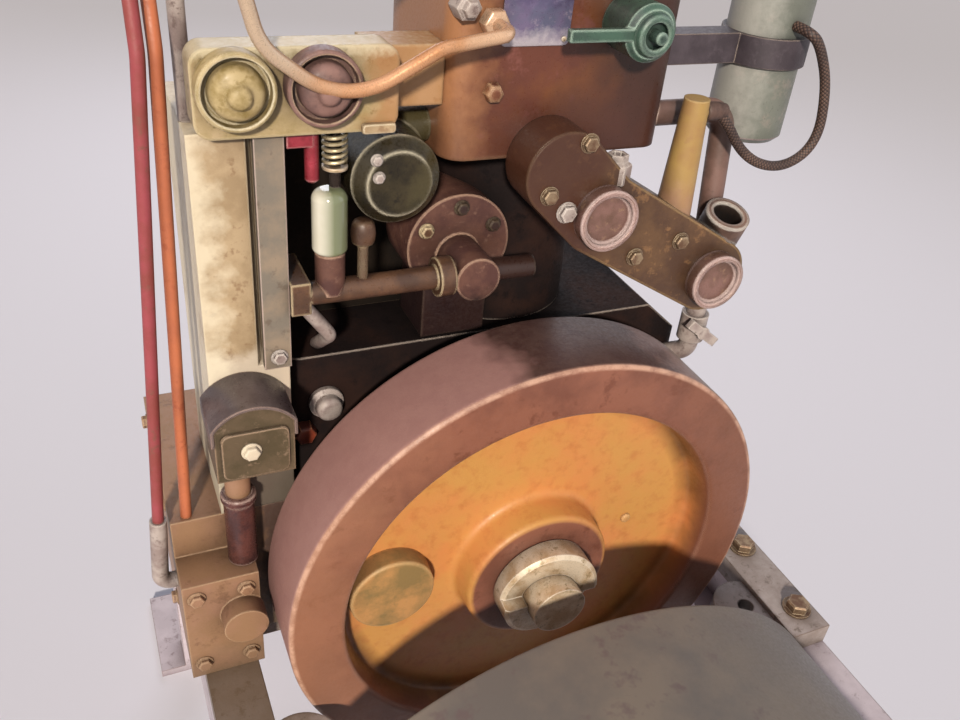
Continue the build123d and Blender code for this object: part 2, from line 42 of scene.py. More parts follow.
# Camera: stands in front of the flywheel and a little to the left, above the engine, and looks
# down at it by 34 degrees. Its place was worked out from the flywheel's two rim circles.
camera_data = bpy.data.cameras.new("view_camera")
camera_data.sensor_fit = "HORIZONTAL"
camera_data.sensor_width = 36.0
camera_data.lens = 33.75
camera_data.clip_start = 0.01
camera_data.clip_end = 60.0
camera = bpy.data.objects.new("view_camera", camera_data)
camera_right = (0.91434492, -0.39565555, 0.08619774)
camera_up = (0.15467169, 0.53797096, 0.82865186)
camera_back = (-0.37423259, -0.74434127, 0.55308773)
camera_place = (-0.3545, -0.5748, 1.1969)
camera.matrix_world = Matrix([
    [camera_right[i], camera_up[i], camera_back[i], camera_place[i]] for i in range(3)] + [[0, 0, 0, 1]])
scene.collection.objects.link(camera)
scene.camera = camera


# Ignition lead: a waxed brown cotton braid over a rubber core, 9 mm thick and 269 mm long. It is
# pushed on the cap of the tapered tube, hangs in a loop to the right, and goes back into the coil
# can's front. The braid is where two waves cross that wind round the lead in opposite ways.
lead_radius = 0.0045
lead_sides = 20
strands_round = 7
strand_lay = 0.003696           # metres along the lead from one strand to the next
wave_period = 0.2 * math.pi     # from band to band of a diagonal wave whose scale is 1
wheel_front = -50               # millimetres along Y from the frame's origin to the flywheel's face
shaft_height = 530              # millimetres from the ground up to the shaft's axis


def at(x, y, z):
    """Millimetres from the middle of the flywheel's front face as metres in the shared frame:
    Y is moved by the place of that face and Z by the shaft's height, then all is divided by 1000."""
    return np.stack(np.broadcast_arrays(np.asarray(x, float), np.asarray(y, float) + wheel_front,
                                        np.asarray(z, float) + shaft_height), axis=-1) / 1000


def linear(code):
    """An sRGB hex colour as linear red, green, blue and alpha: a part under 0.04045 is divided by
    12.92, any other is raised by 0.055, divided by 1.055 and taken to the power 2.4."""
    parts = [int(code[i:i + 2], 16) / 255 for i in (1, 3, 5)]
    return (*[p / 12.92 if p <= 0.04045 else ((p + 0.055) / 1.055) ** 2.4 for p in parts], 1.0)


def add(tree, kind, settings=None, links=None):
    """Adds a node: settings go to its properties or else to its inputs, links join its inputs."""
    node = tree.nodes.new(kind)
    for name, value in (settings or {}).items():
        if isinstance(name, str) and hasattr(node, name):
            setattr(node, name, value)
        else:
            node.inputs[name].default_value = value
    for name, socket in (links or {}).items():
        tree.links.new(socket, node.inputs[name])
    return node


def bare_finish(name):
    """A new material, its node tree and its shader."""
    finish = bpy.data.materials.new(name)
    finish.use_nodes = True
    return finish, finish.node_tree, finish.node_tree.nodes["Principled BSDF"]


def mottle(tree, place, scale, detail, rough=0.5):
    """Cloudy noise over a place, from 0 to 1 and 0.5 on average."""
    return add(tree, "ShaderNodeTexNoise", {"Scale": scale, "Detail": detail, "Roughness": rough},
               {"Vector": place}).outputs["Fac"]


def graded(tree, value, low, high, start=0.0, end=1.0):
    """start + (end - start) * (value - low) / (high - low), held between start and end."""
    return add(tree, "ShaderNodeMapRange",
               {"From Min": low, "From Max": high, "To Min": start, "To Max": end},
               {"Value": value}).outputs[0]


def combined(tree, operation, first, second):
    """Two values multiplied, added or compared."""
    return add(tree, "ShaderNodeMath", {"operation": operation}, {0: first, 1: second}).outputs[0]


def coat_mix(tree, share, under, over):
    """under * (1 - share) + over * share, where each coat is a hex colour or a socket."""
    node = add(tree, "ShaderNodeMix", {"data_type": "RGBA"}, {0: share})
    for entry, coat in ((6, under), (7, over)):
        if isinstance(coat, str):
            node.inputs[entry].default_value = linear(coat)
        else:
            tree.links.new(coat, node.inputs[entry])
    return node.outputs[2]


lead_route = at(*np.array([
    (147, 81, 436), (155, 81, 436), (192, 80, 390), (238, 78, 377), (272, 78, 400), (264, 79, 452),
    (246, 82, 488), (232, 84, 499), (232, 102, 499)], float).T)
lead_curve = bpy.data.curves.new("lead_route", "CURVE")
lead_curve.dimensions = "3D"
lead_spline = lead_curve.splines.new("NURBS")
lead_spline.points.add(len(lead_route) - 1)
lead_spline.points.foreach_set("co", np.column_stack([lead_route, np.ones(len(lead_route))]).ravel())
lead_spline.order_u = 3
lead_spline.use_endpoint_u = True
lead_spline.resolution_u = 16
lead_holder = bpy.data.objects.new("lead_route", lead_curve)
lead_line = bpy.data.meshes.new_from_object(lead_holder)
lead_points = np.empty(len(lead_line.vertices) * 3)
lead_line.vertices.foreach_get("co", lead_points)
lead_points = lead_points.reshape(-1, 3)
bpy.data.objects.remove(lead_holder)

lead_cover, tree, shader = bare_finish("waxed_braid_cover")
coords = add(tree, "ShaderNodeTexCoord")
strands = []
for lean in (1, -1):
    slant = add(tree, "ShaderNodeMapping",
                {"Scale": (wave_period * strands_round, lean * wave_period / strand_lay, 1)},
                {"Vector": coords.outputs["UV"]})
    strands.append(add(tree, "ShaderNodeTexWave", {"bands_direction": "DIAGONAL", "Scale": 1.0},
                       {"Vector": slant.outputs[0]}).outputs["Fac"])
weave = combined(tree, "MULTIPLY", *strands)
stain = mottle(tree, coords.outputs["Object"], 45.0, 4.0)
thread = coat_mix(tree, graded(tree, stain, 0.4, 0.62), "#6e564a", "#4c3a34")
thread = coat_mix(tree, graded(tree, weave, 0.0, 0.3), "#261a18", thread)
tree.links.new(thread, shader.inputs["Base Color"])
shader.inputs["Roughness"].default_value = 0.6
rise = add(tree, "ShaderNodeBump", {"Strength": 0.6, "Distance": 0.0006}, {"Height": weave})
tree.links.new(rise.outputs["Normal"], shader.inputs["Normal"])


def grid_faces(rows, columns, round_rows=False):
    """Quads between neighbouring rows of a grid whose columns close on themselves; the rows
    close too where asked."""
    row = np.arange(rows if round_rows else rows - 1)
    r, c = np.meshgrid(row, np.arange(columns), indexing="ij")
    r2, c2 = (r + 1) % rows, (c + 1) % columns
    quads = np.stack([r * columns + c, r * columns + c2, r2 * columns + c2, r2 * columns + c], -1)
    return quads.reshape(-1, 4).tolist()


def tube_points(line, radius, steps):
    """A round tube about a line of points: each ring lies across the line's direction, and its
    first side is carried on from ring to ring so that the tube doesn't twist."""
    line = np.asarray(line, float)
    along = np.gradient(line, axis=0)
    along /= np.linalg.norm(along, axis=1, keepdims=True)
    side = np.cross(along[0], (0.31, 0.17, 0.93))
    sides = []
    for direction in along:
        side = side - direction * np.dot(side, direction)
        side = side / np.linalg.norm(side)
        sides.append(side)
    sides = np.array(sides)
    ups = np.cross(along, sides)
    angle = np.arange(steps) * 2 * math.pi / steps
    rings = line[:, None] + radius * (np.cos(angle)[None, :, None] * sides[:, None]
                                      + np.sin(angle)[None, :, None] * ups[:, None])
    first = np.repeat(line[:1, None], steps, axis=1)
    last = np.repeat(line[-1:, None], steps, axis=1)
    return np.concatenate([first, rings, last])


def piece(name, points, faces, finish, body="engine", sharp=35.0, uv=None):
    """A mesh of its own: doubled points are merged, faces turned outwards, edges over an angle
    kept sharp, and the piece rides on a body. A UV is given for each corner of each face."""
    mesh = bpy.data.meshes.new(name)
    mesh.from_pydata(np.asarray(points).reshape(-1, 3), [], faces)
    if uv is not None:
        mesh.uv_layers.new(name="UVMap").data.foreach_set("uv", np.asarray(uv, float).ravel())
    work = bmesh.new()
    work.from_mesh(mesh)
    bmesh.ops.remove_doubles(work, verts=work.verts, dist=1e-6)
    bmesh.ops.recalc_face_normals(work, faces=work.faces)
    work.to_mesh(mesh)
    work.free()
    mesh.polygons.foreach_set("use_smooth", np.ones(len(mesh.polygons), bool))
    mesh.set_sharp_from_angle(angle=math.radians(sharp))
    mesh.materials.append(finish)
    ob = bpy.data.objects.new(name, mesh)
    scene.collection.objects.link(ob)
    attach(ob, body)
    return ob


lead_rings = tube_points(lead_points, lead_radius, lead_sides)
row, column = np.meshgrid(np.arange(len(lead_rings) - 1), np.arange(lead_sides), indexing="ij")
steps_along = np.linalg.norm(np.diff(lead_points, axis=0), axis=1)
length_along = np.concatenate([[0, 0], np.cumsum(steps_along), [steps_along.sum()]])
lead_uv = np.stack([np.stack([column, column + 1, column + 1, column], -1) / lead_sides,
                    length_along[np.stack([row, row, row + 1, row + 1], -1)]], -1)
lead = piece("braided_lead", lead_rings, grid_faces(len(lead_rings), lead_sides), lead_cover,
             uv=lead_uv)
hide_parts("ignition_lead")


# Light: a low wide key from the front left, which throws the tank's shadow on the flywheel's web,
# and weak soft lamps from the right, from above and from behind. The world lights the engine
# weakly, and is pale where it is seen or mirrored. The floor is plain.
def lamp(name, kind, place, target, size, power, colour):
    """A lamp that faces a target point. Size is a square lamp's side in metres, or the angle in
    degrees over which a far key lamp spreads."""
    data = bpy.data.lights.new(name, kind)
    if kind == "SUN":
        data.angle = math.radians(size)
    else:
        data.size = size
    data.energy = power
    data.color = linear(colour)[:3]
    ob = bpy.data.objects.new(name, data)
    away = np.array(place, float) - np.array(target, float)
    away /= np.linalg.norm(away)
    side = np.cross((0, 0, 1), away)
    side /= np.linalg.norm(side)
    top = np.cross(away, side)
    ob.matrix_world = Matrix([[side[i], top[i], away[i], place[i]] for i in range(3)] + [[0, 0, 0, 1]])
    scene.collection.objects.link(ob)


engine_middle = (0, 0, 0.7)
lamp("key_lamp", "SUN", (-1.22, -2.63, 1.88), (0, -0.016, 0.5), size=4.5, power=3.95, colour="#fff3e4")
lamp("side_lamp", "AREA", (2.6, -0.8, 1.9), engine_middle, size=2.0, power=7, colour="#eef2ff")
lamp("top_lamp", "AREA", (-0.5, -0.4, 3.4), engine_middle, size=1.6, power=7, colour="#f8f6ff")
lamp("back_lamp", "AREA", (0.8, 2.8, 2.4), engine_middle, size=1.8, power=30, colour="#f4f4ff")

world = bpy.data.worlds.new("pale_room")
scene.world = world
world.use_nodes = True
tree = world.node_tree
tree.nodes.clear()
path = add(tree, "ShaderNodeLightPath")
seen = combined(tree, "MAXIMUM", path.outputs["Is Camera Ray"], path.outputs["Is Transmission Ray"])
seen = combined(tree, "MAXIMUM", seen, path.outputs["Is Glossy Ray"])
ambient = add(tree, "ShaderNodeBackground", {"Color": linear("#e4e6ee"), "Strength": 0.13})
backdrop = add(tree, "ShaderNodeBackground", {"Color": linear("#e9e9ee"), "Strength": 0.9})
mixed = add(tree, "ShaderNodeMixShader", None, {0: seen, 1: ambient.outputs[0], 2: backdrop.outputs[0]})
add(tree, "ShaderNodeOutputWorld", None, {"Surface": mixed.outputs[0]})

floor_half = 40
floor_corners = [(x * floor_half, y * floor_half, 0) for x, y in ((-1, -1), (1, -1), (1, 1), (-1, 1))]
floor_mesh = bpy.data.meshes.new("studio_floor")
floor_mesh.from_pydata(floor_corners, [], [(0, 1, 2, 3)])
floor_paint, tree, shader = bare_finish("pale_floor")
shader.inputs["Base Color"].default_value = linear("#e2e1ea")
shader.inputs["Roughness"].default_value = 0.85
floor_mesh.materials.append(floor_paint)
floor = bpy.data.objects.new("studio_floor", floor_mesh)
scene.collection.objects.link(floor)


# Worn paint on metal: brushed-on enamel over iron or steel, with blotches where it has aged,
# grime together with painted shade in the corners, and pale edges that are bare metal where hands
# and tools have rubbed it and, in some finishes, painted highlights.
def worn_paint(name, base, second, bare_and_highlight, grime_and_shade, rough=0.5, blotch_mm=38.0, wear=0.55, metal=0.0,
               edge_mm=2.2, pit_mm=3.0, bump=0.25, grime_and_shade_share=0.8, spots=None, gloss=0.5):
    """Colour: base and second mixed by cloudy noise, then small spots, then a dark colour for soiling
    together with painted shade where the ambient occlusion is low, then a pale colour for worn metal
    and highlights where a rounded normal leaves the true one. Blotches have the size blotch_mm and
    fine pits pit_mm; edge_mm is how far edges look rounded."""
    paint, tree, shader = bare_finish(name)
    place = add(tree, "ShaderNodeTexCoord").outputs["Object"]
    cloud = mottle(tree, place, 1000 / blotch_mm, 5.0, 0.62)
    fine = mottle(tree, place, 1000 / pit_mm, 3.0, 0.7)
    speckle = mottle(tree, place, 2600 / blotch_mm, 4.0, 0.75)
    coat = coat_mix(tree, graded(tree, cloud, 0.42, 0.6), base, second)
    coat = coat_mix(tree, graded(tree, speckle, 0.57, 0.66, end=0.75), coat, spots or second)
    # Painted shade: corners darken where the ambient occlusion is low, along with grime.
    corner_shade = add(tree, "ShaderNodeAmbientOcclusion", {"samples": 3, "Distance": 0.03}).outputs["AO"]
    coat = coat_mix(tree, graded(tree, corner_shade, 0.35, 0.97, grime_and_shade_share, 0.0), coat, grime_and_shade)
    soft = add(tree, "ShaderNodeBevel", {"samples": 3, "Radius": edge_mm / 1000})
    true = add(tree, "ShaderNodeNewGeometry")
    same = add(tree, "ShaderNodeVectorMath", {"operation": "DOT_PRODUCT"},
               {0: soft.outputs["Normal"], 1: true.outputs["Normal"]})
    # Pale edges: bare metal from wear, and in some finishes a painted highlight.
    edge_wear_and_highlight = combined(tree, "MULTIPLY", graded(tree, same.outputs["Value"], 0.995, 0.93), cloud)
    coat = coat_mix(tree, graded(tree, edge_wear_and_highlight, 0.5 - 0.35 * wear, 0.62 - 0.3 * wear), coat, bare_and_highlight)
    tree.links.new(coat, shader.inputs["Base Color"])
    tree.links.new(graded(tree, fine, 0.3, 0.7, rough - 0.14, rough + 0.16), shader.inputs["Roughness"])
    shader.inputs["Metallic"].default_value = metal
    shader.inputs["Specular IOR Level"].default_value = gloss
    rise = add(tree, "ShaderNodeBump", {"Strength": bump, "Distance": 0.0006},
               {"Height": fine, "Normal": soft.outputs["Normal"]})
    tree.links.new(rise.outputs["Normal"], shader.inputs["Normal"])
    return paint


def fade(finish, axis, start, end, colour, share=1.0, ragged=16.0):
    """Mixes a colour over a finish by place: none at start, the whole share at end, in the
    engine's millimetres along X, Y or Z. Noise times ragged / 250 metres moves the border to and
    fro, and the shift takes back its average, ragged * 2 millimetres."""
    tree = finish.node_tree
    target = tree.nodes["Principled BSDF"].inputs["Base Color"]
    coat = target.links[0].from_socket
    place = add(tree, "ShaderNodeTexCoord").outputs["Object"]
    along = add(tree, "ShaderNodeSeparateXYZ", None, {"Vector": place}).outputs[axis]
    moved = add(tree, "ShaderNodeMath", {"operation": "MULTIPLY_ADD", 1: ragged / 250},
                {0: mottle(tree, place, 700 / ragged, 4.0, 0.6), 2: along}).outputs[0]
    shift = {"X": 0, "Y": wheel_front, "Z": shaft_height}[axis] + ragged * 2
    amount = graded(tree, moved, (start + shift) / 1000, (end + shift) / 1000, end=share)
    tree.links.new(coat_mix(tree, amount, coat, colour), target)


def dress(finish, *names):
    """Gives CAD nodes a finish."""
    for name in names:
        slots = nodes[name].data.materials
        slots.clear()
        slots.append(finish)


# Frame: two rolled steel channels on cross bars and legs, bolted together and brushed with pale
# lavender-grey paint that is worn along the flanges.
frame_paint = worn_paint("worn_pale_grey_enamel", "#c0b5bc", "#cdc2c9", "#7d6259", "#57494e", rough=0.55,
                         wear=0.5, spots="#948488")
dress(frame_paint, "left_rail", "right_rail", "front_cross_bar", "middle_cross_bar", "rear_cross_bar",
      "front_left_leg", "front_right_leg", "rear_left_leg", "rear_right_leg")


# Hexagon bolts with a washer: cold-forged steel with a brown bloom of rust. The flats are 1.5
# times the thread wide plus a millimetre.
def turned_points(profile, centre, axis, steps):
    """A profile of (radius, height) goes round an axis: centre + height * axis + radius *
    (cos a * side + sin a * up), for steps equal angles a."""
    axis = np.array(axis, float)
    axis /= np.linalg.norm(axis)
    side = np.cross(axis, (0, 0, 1) if abs(axis[2]) < 0.9 else (1, 0, 0))
    side /= np.linalg.norm(side)
    up = np.cross(axis, side)
    angle = np.arange(steps) * 2 * math.pi / steps
    ring = np.cos(angle)[:, None] * side + np.sin(angle)[:, None] * up
    profile = np.array(profile, float)
    return np.array(centre, float) + profile[:, 1, None, None] * axis + profile[:, 0, None, None] * ring


def many(name, template, faces, places, finish, sharp=35.0):
    """The same small shape at many places: template points plus each place, in millimetres."""
    template = np.asarray(template).reshape(1, -1, 3)
    places = np.array(places, float).reshape(-1, 1, 3)
    points = (template + places).reshape(-1, 3)
    every = [[i + template.shape[1] * k for i in face] for k in range(len(places)) for face in faces]
    return piece(name, at(*points.T), every, finish, sharp=sharp)


bolt_steel = worn_paint("rusted_bolt_steel", "#a08a70", "#6f5240", "#c9b79a", "#3a2c24", rough=0.5,
                        blotch_mm=14, metal=0.6, edge_mm=0.8, pit_mm=1.2, wear=0.7)


def bolt_heads(name, places, axis, thread, finish=bolt_steel):
    """Each head is a washer and a six-sided prism with a turned-down rim; places are the points
    where the washers sit, in millimetres."""
    washer_sides, head_sides, rim = 18, 6, 0.86
    corner = (1.5 * thread + 1) / math.sqrt(3)
    low, high = thread * 0.15, thread * 0.8
    washer = [(0, 0), (corner * 1.25, 0), (corner * 1.25, low), (0, low)]
    head = [(0, low), (corner, low), (corner, high * rim), (corner * rim, high), (0, high)]
    disc = turned_points(washer, (0, 0, 0), axis, washer_sides).reshape(-1, 3)
    prism = turned_points(head, (0, 0, 0), axis, head_sides).reshape(-1, 3)
    faces = grid_faces(len(washer), washer_sides)
    faces += [[i + len(disc) for i in face] for face in grid_faces(len(head), head_sides)]
    return many(name, np.concatenate([disc, prism]), faces, places, finish, sharp=25)


bolt_heads("frame_bolts", [(x, y, -84) for x in (-298, 298) for y in (-68, 335, 470)]
           + [(298, y, -84) for y in (30, 190)], (0, 0, 1), 14)

# Bedplate: a machined iron casting in grey-brown paint, with painted shade darkening its left arm under the
# gear case.
bed_paint = worn_paint("oily_grey_brown_enamel", "#938680", "#aca19d", "#6a5142", "#2e2622", rough=0.5,
                       spots="#66584e")
fade(bed_paint, "X", -228, -248, "#6c5a46", 0.75)
dress(bed_paint, "bedplate")

# Crankcase: a closed iron box in dark paint, soaked with oil and soot, with a sloped shoulder, a
# bolted side door and two bearings. The cylinder that stands on it has the same black coat, which
# is darker than the paint alone as painted shade behind the flywheel, and its pale edges are partly
# painted highlight.
# Painted shade: the coat's near-black colour, together with real oil and soot.
dark_iron_and_shade = worn_paint("sooty_iron_and_painted_shade", "#1e1717", "#2e1f1b", "#c4b6ac", "#0a0708", rough=0.72,
                       blotch_mm=60, edge_mm=2.8, wear=0.75, bump=0.12, spots="#140f10", gloss=0.1)
door_paint = worn_paint("worn_tan_enamel", "#8d6a50", "#7a5c40", "#c8a888", "#3a2a20")
dress(dark_iron_and_shade, "crankcase", "front_bearing", "rear_bearing", "cylinder")
dress(door_paint, "crankcase_door")
bolt_heads("door_bolts", [(215, y, z) for y in (160, 252, 345) for z in (-1, 135)]
           + [(215, y, 67) for y in (160, 345)], (1, 0, 0), 8)
bearing_end, bearing_bolt_circle = 420, 52
bolt_heads("rear_bearing_bolts", [(bearing_bolt_circle * math.cos(a), bearing_end,
                                   bearing_bolt_circle * math.sin(a)) for a in np.arange(6) * math.pi / 3],
           (0, 1, 0), 8)

# Shade plate: 2 mm of black sheet steel behind the valve gear, from the column to the cylinder, set
# in the dark gap there as painted shade. Its foot, 22 mm deep, is bent back and bolted on the
# crankcase.
def grid_piece(name, points, finish, body="engine", ring=False, sharp=35.0, more=()):
    """A piece from a grid of points in the engine's millimetres, whose rows close on themselves
    in a ring, with more faces where they are asked."""
    faces = grid_faces(*points.shape[:2], round_rows=ring) + list(more)
    return piece(name, at(*np.moveaxis(points, -1, 0)), faces, finish, body, sharp)


shade_plate_left, shade_plate_right = -217.8, -63.5
shade_plate_section = [(200, 218), (222, 218), (222, 220), (202, 220), (202, 402), (200, 402)]
shade_plate_points = np.array([[(x, y, z) for y, z in shade_plate_section] for x in (shade_plate_left, shade_plate_right)])
shade_plate_ends = [[0, 1, 2, 3], [0, 3, 4, 5], [6, 9, 8, 7], [6, 11, 10, 9]]
# Painted shade: the black sheet fills the shaded gap behind the valve gear.
shade_sheet = worn_paint("black_sheet_painted_shade", "#1c1713", "#261e18", "#6c5c50", "#0a0807", rough=0.7,
                         blotch_mm=50, edge_mm=1.0, bump=0.1, gloss=0.1)
grid_piece("shade_plate", shade_plate_points, shade_sheet, more=shade_plate_ends)
bolt_heads("shade_plate_bolts", [(x, 213, 220) for x in (-190, -90)], (0, 0, 1), 6)


# Oil cap and plug: screwed into the crankcase's front at the left, the cap in pale worn iron and
# the six-sided plug in rust-red paint.
def rounded(corners, radii, steps=4, closed=False):
    """A polyline whose corners are cut back by the radii and joined by quadratic curves: the
    point is (1-t)^2 a + 2 t (1-t) corner + t^2 b, with a and b on the two sides."""
    corners = np.array(corners, float)
    count = len(corners)
    radii = np.broadcast_to(radii, count)
    t = np.linspace(0, 1, steps + 1)[:, None]
    out = []
    for i in range(count):
        if not closed and i in (0, count - 1):
            out.append(corners[i:i + 1])
            continue
        before, here, after = corners[i - 1], corners[i], corners[(i + 1) % count]
        back, ahead = before - here, after - here
        cut = min(radii[i], np.linalg.norm(back) * 0.49, np.linalg.norm(ahead) * 0.49)
        a = here + back / np.linalg.norm(back) * cut
        b = here + ahead / np.linalg.norm(ahead) * cut
        out.append((1 - t) ** 2 * a + 2 * t * (1 - t) * here + t ** 2 * b)
    return np.concatenate(out)


def turned(name, profile, centre, axis, finish, body="engine", steps=48, ring=False, sharp=35.0):
    """A turned piece in millimetres about a centre; a ring's profile closes on itself."""
    return grid_piece(name, turned_points(profile, centre, axis, steps), finish, body, ring, sharp)


pale_iron = worn_paint("pale_worn_iron", "#b4a8a2", "#948480", "#ece4dc", "#2a2022", rough=0.45,
                       blotch_mm=18, spots="#6e5c58")
oil_cap = rounded([(0, 106), (9, 106), (12, 110), (12, 118), (16, 120), (16, 125.5), (0, 125.5)],
                  [0, 3, 2, 1, 1, 0, 0])
turned("oil_cap", oil_cap, (-181, 0, 168), (0, 1, 0), pale_iron)
plug_rust = worn_paint("rust_red_plug", "#96432c", "#74352a", "#d89a70", "#2e1410", rough=0.5, blotch_mm=16)
red_plug = rounded([(0, 114), (10, 114), (12, 125.5), (0, 125.5)], [0, 3, 0, 0])
turned("red_plug", red_plug, (-202, 0, 138), (0, 1, 0), plug_rust, steps=6, sharp=25)

# Flywheel: one heavy iron casting, turned on its rim and painted. The rim is red-brown, lighter at
# the left and darker at the right as painted light and shade, with a painted highlight along its
# front edge. The web inside it is orange, with painted shade and grime in its corner at the rim, and
# the tread is mauve with a painted shade band across its top. The paint's zones go by distance from
# the axis, in metres.
wheel_paint = worn_paint("worn_flywheel_enamel", "#8c5a48", "#764a3c", "#f0cdb8", "#2e1c18", rough=0.42,
                         blotch_mm=70, edge_mm=3.6, wear=0.95, spots="#6e4030")
# Painted light and shade: lighter at the left, darker at the right.
fade(wheel_paint, "X", 40, 190, "#6c4430", 0.6, 40)
fade(wheel_paint, "X", -110, -210, "#a5765a", 0.5, 40)
tree = wheel_paint.node_tree
shader = tree.nodes["Principled BSDF"]
red_brown = shader.inputs["Base Color"].links[0].from_socket
place = add(tree, "ShaderNodeTexCoord").outputs["Object"]
centred = add(tree, "ShaderNodeMapping", {"Location": (0, 0, -shaft_height / 1000)}, {"Vector": place})
apart = add(tree, "ShaderNodeSeparateXYZ", None, {"Vector": centred.outputs[0]})
flat = add(tree, "ShaderNodeCombineXYZ", None, {"X": apart.outputs["X"], "Z": apart.outputs["Z"]})
radius = add(tree, "ShaderNodeVectorMath", {"operation": "LENGTH"}, {0: flat.outputs[0]}).outputs["Value"]
broad = mottle(tree, place, 9.0, 4.0, 0.6)
small = mottle(tree, place, 70.0, 5.0, 0.7)
orange = coat_mix(tree, graded(tree, broad, 0.4, 0.6), "#cf8850", "#c79250")
orange = coat_mix(tree, graded(tree, small, 0.5, 0.75, end=0.6), orange, "#b0683a")
# Painted shade with grime: the web darkens in its corner at the rim.
web_edge_shade = graded(tree, radius, 0.176, 0.192, end=0.8)
web_edge_shade = combined(tree, "MULTIPLY", web_edge_shade, graded(tree, broad, 0.3, 0.62))
orange = coat_mix(tree, web_edge_shade, orange, "#4a2a1c")
web = combined(tree, "MULTIPLY", graded(tree, radius, 0.1975, 0.195), graded(tree, radius, 0.07, 0.074))
web = combined(tree, "MULTIPLY", web, graded(tree, apart.outputs["Y"], 0.0125, 0.009))
coat = coat_mix(tree, web, red_brown, orange)
# Painted highlight: a pale ring along the rim's outer front edge.
edge_wear_and_highlight = graded(tree, radius, 0.2445, 0.247)
edge_wear_and_highlight = combined(tree, "MULTIPLY", edge_wear_and_highlight, graded(tree, small, 0.4, 0.58, 0.2, 0.6))
coat = coat_mix(tree, edge_wear_and_highlight, coat, "#e2b8a0")
# Painted shade: a dark band across the top of the tread, with a greenish tint to its right.
moved = add(tree, "ShaderNodeMath", {"operation": "MULTIPLY_ADD", 1: 0.22, 2: -0.14}, {0: broad}).outputs[0]
across = combined(tree, "ADD", apart.outputs["X"], moved)
off_middle = add(tree, "ShaderNodeMath", {"operation": "ABSOLUTE"}, {0: across}).outputs[0]
tread_colour_and_shade = coat_mix(tree, graded(tree, off_middle, 0.1, 0.055), "#9e7672", "#3a2525")
tread_colour_and_shade = coat_mix(tree, graded(tree, across, 0.06, 0.14, end=0.75), tread_colour_and_shade, "#756a58")
coat = coat_mix(tree, graded(tree, radius, 0.2492, 0.2499, end=0.9), coat, tread_colour_and_shade)
tree.links.new(coat, shader.inputs["Base Color"])

shaft_bore, hub_radius, rim_inner, wheel_radius, wheel_width = 27.4, 76, 198, 250, 86
web_front, web_back, hub_lean, rim_lean, bore_edge = 34, 58, 2, 4, 1.5
hub_foot, rim_foot = hub_radius + hub_lean, rim_inner - rim_lean
wheel_corners = [
    (shaft_bore, bore_edge), (hub_radius, 0), (hub_foot, web_front), (rim_foot, web_front), (rim_inner, 0),
    (wheel_radius, 0), (wheel_radius, wheel_width), (rim_inner, wheel_width), (rim_foot, web_back),
    (hub_foot, web_back), (hub_radius, wheel_width), (shaft_bore, wheel_width - bore_edge)]
wheel_profile = rounded(wheel_corners, [1, 7, 9, 7, 5, 5, 4, 5, 9, 9, 7, 1], closed=True)
wheel = turned("flywheel_casting", wheel_profile, (0, 0, 0), (0, 1, 0), wheel_paint,
               body="crank", steps=176, ring=True)
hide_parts("flywheel")
lug_paint = worn_paint("worn_ochre_enamel", "#bd8d58", "#8a7248", "#f0c890", "#4a3420", blotch_mm=45,
                       edge_mm=4, wear=0.9)
lug_profile = rounded([(0, 14), (41, 14), (42, 34.5), (0, 34.5)], [0, 2.5, 0, 0])
turned("flywheel_lug", lug_profile, (-148, 0, 13), (0, 1, 0), lug_paint, body="crank")
rivet_profile = rounded([(0, 30.5), (5, 30.5), (6, 34.2), (0, 34.2)], [0, 4, 0, 0])
turned("flywheel_rivet", rivet_profile, (116, 0, 16), (0, 1, 0), lug_paint, body="crank",
       steps=20)

# Crankshaft and starting dog: turned steel with a film of yellowish old oil. The dog has two
# ramps that a starting handle grips and slips off.
oiled_steel = worn_paint("oiled_turned_steel", "#e6d6be", "#c8ae8c", "#fbf2e2", "#3c2c20", rough=0.36,
                         blotch_mm=22, metal=0.25, edge_mm=1.6, pit_mm=1.6, bump=0.15, spots="#8f7c58")
dress(oiled_steel, "crankshaft", "tank_filler", "cover_nuts")


def ratchet(steps=144):
    """Height of the dog's front face round its axis: the full reach less the drop times the part
    of a half turn that has gone by, so that it sinks and jumps back twice."""
    reach, drop, early, bore, flat, rim, root = 30, 13, 1.04, 27.3, 46, 50, 0.2
    angle = np.linspace(0, 2 * math.pi, steps, endpoint=False)
    share = np.mod(angle / math.pi, 1.0)
    front = -(reach - drop * np.clip(share * early, 0, 1))
    back = 0 * front - root
    rows = [(bore, back), (bore, front), (flat, front), (rim, front + 3), (rim, back)]
    return np.stack([np.stack([r * np.cos(angle), y, r * np.sin(angle)], -1) for r, y in rows])


dog = grid_piece("ratchet_dog", ratchet(), oiled_steel, body="crank", ring=True, sharp=30)
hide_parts("starting_dog")

# Water jacket, head and cover: iron castings under thick brown paint that has turned orange in
# places, held down by bolts round the cover. The paint is lighter at the left as painted light and
# darker at the right as painted shade, and darker towards the bottom. The exhaust is bare and burnt.
jacket_paint = worn_paint("worn_brown_enamel", "#65382a", "#744528", "#dcb892", "#1c0f0c", rough=0.38,
                          blotch_mm=70, edge_mm=5.0, wear=0.9, spots="#7d4c44")
